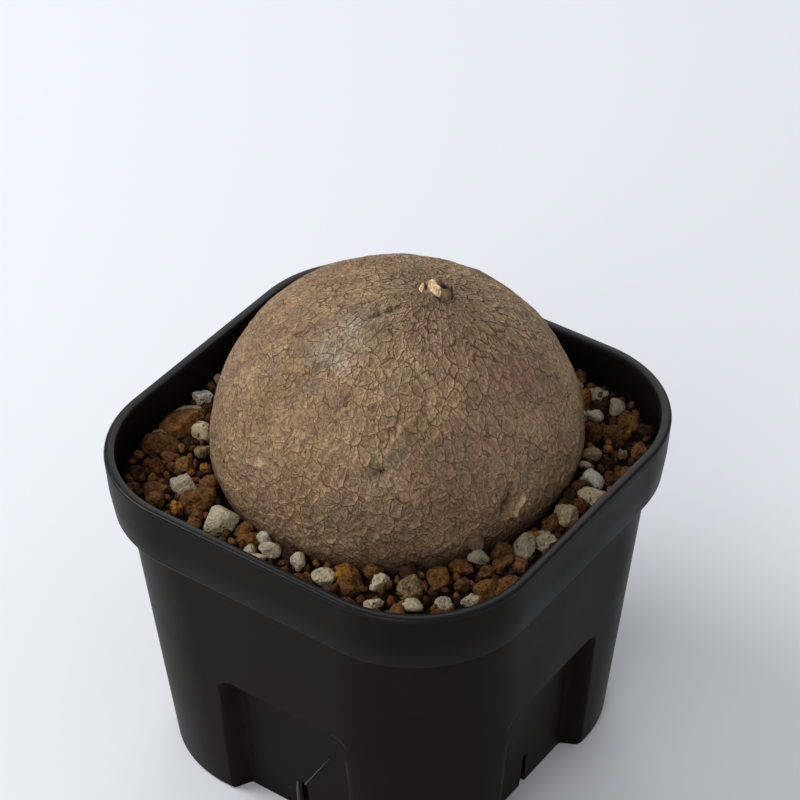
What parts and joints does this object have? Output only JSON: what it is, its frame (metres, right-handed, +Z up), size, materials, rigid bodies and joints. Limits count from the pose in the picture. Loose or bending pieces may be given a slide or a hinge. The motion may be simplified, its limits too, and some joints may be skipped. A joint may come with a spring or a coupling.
{
  "type": "potted stephania",
  "caption": "Bare round caudex with net-cracked bark and a dry stem stub, set in mixed gravel in a square black plastic nursery pot with recessed side panels.",
  "frame": {"origin": "middle of the pot's base, on the surface that it stands on", "axes": "+Z up, X and Y along the pot's sides; the picture looks from between +X and -Y"},
  "size_m": [0.105, 0.105, 0.1209],
  "materials": {
    "pot_plastic": "semi-matt injection-moulded black plastic",
    "grit": "dry porous gravel in red-brown, orange and cream",
    "bark": "dry corky bark with a net of fine cracks",
    "dry_wood": "dry broken wood"
  },
  "bodies": {
    "root": {"pot": "pot_plastic", "potting_grit": "grit", "caudex": "bark", "dry_stem_stub": "dry_wood"}
  },
  "joints": []
}
